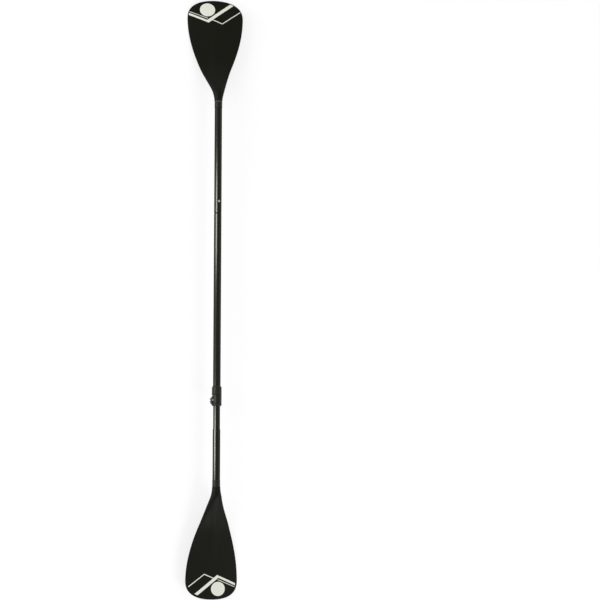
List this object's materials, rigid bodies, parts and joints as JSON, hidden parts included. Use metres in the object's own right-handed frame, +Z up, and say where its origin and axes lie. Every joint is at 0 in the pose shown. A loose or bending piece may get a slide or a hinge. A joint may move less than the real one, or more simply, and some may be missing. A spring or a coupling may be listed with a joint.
{
  "type": "kayak paddle",
  "caption": "Double-bladed take-apart kayak paddle with spoon blades, a telescopic shaft, a cam clamp for length and feather angle, and a snap-button joint.",
  "frame": {"origin": "middle of the hand grip, on the axis of the middle tube", "axes": "+X along the shaft towards the blade of the fixed section, +Z up, away from the floor that the paddle lies on with the backs of its blades up"},
  "size_m": [2.286, 0.2146, 0.0875],
  "materials": {
    "blade_nylon": "matte moulded black with plain cream stripes",
    "neck_band": "satin moulded black",
    "black_tube": "satin black anodised",
    "black_nylon": "matte moulded black",
    "clamp_plastic": "fine grained moulded black",
    "steel": "bright stainless",
    "wear_ring": "plain acetal",
    "foam": "closed-cell foam"
  },
  "bodies": {
    "grip_section": {"upper_blade": "blade_nylon", "upper_neck_band": "neck_band", "upper_shaft": "black_tube", "upper_shaft_plug": "foam", "mid_shaft": "black_tube", "ferrule": "black_nylon", "ferrule_plug": "foam", "button_spring": "steel", "clamp_collar": "clamp_plastic", "clamp_bolt": "steel", "clamp_barrel": "steel", "clamp_nut": "steel", "cam_saddle": "steel"},
    "button": {"snap_button": "steel"},
    "lever": {"clamp_lever": "clamp_plastic"},
    "glide": {"glide_ring": "wear_ring"},
    "lower_section": {"inner_tube": "black_tube", "inner_tube_plug": "black_nylon", "lower_shaft": "black_tube", "lower_neck_band": "neck_band", "lower_blade": "blade_nylon", "lower_shaft_plug": "foam"}
  },
  "joints": [
    {"name": "telescope", "type": "slide", "parent": "grip_section", "child": "glide", "axis": [-1, 0, 0], "range_m": [-0.08, 0.12]},
    {"name": "feather_turn", "type": "hinge", "parent": "glide", "child": "lower_section", "pos_m": [-0.19, 0, 0], "axis": [1, 0, 0], "continuous": true},
    {"name": "lever_swing", "type": "hinge", "parent": "grip_section", "child": "lever", "pos_m": [-0.393, 0.017, -0.01505], "axis": [1, 0, 0], "range_deg": [0, 140]},
    {"name": "button_press", "type": "slide", "parent": "grip_section", "child": "button", "axis": [0, 0, -1], "range_m": [0, 0.0032], "stiffness_N_per_m": 800, "springref_m": -0.004, "deforming": ["button_spring"]}
  ]
}
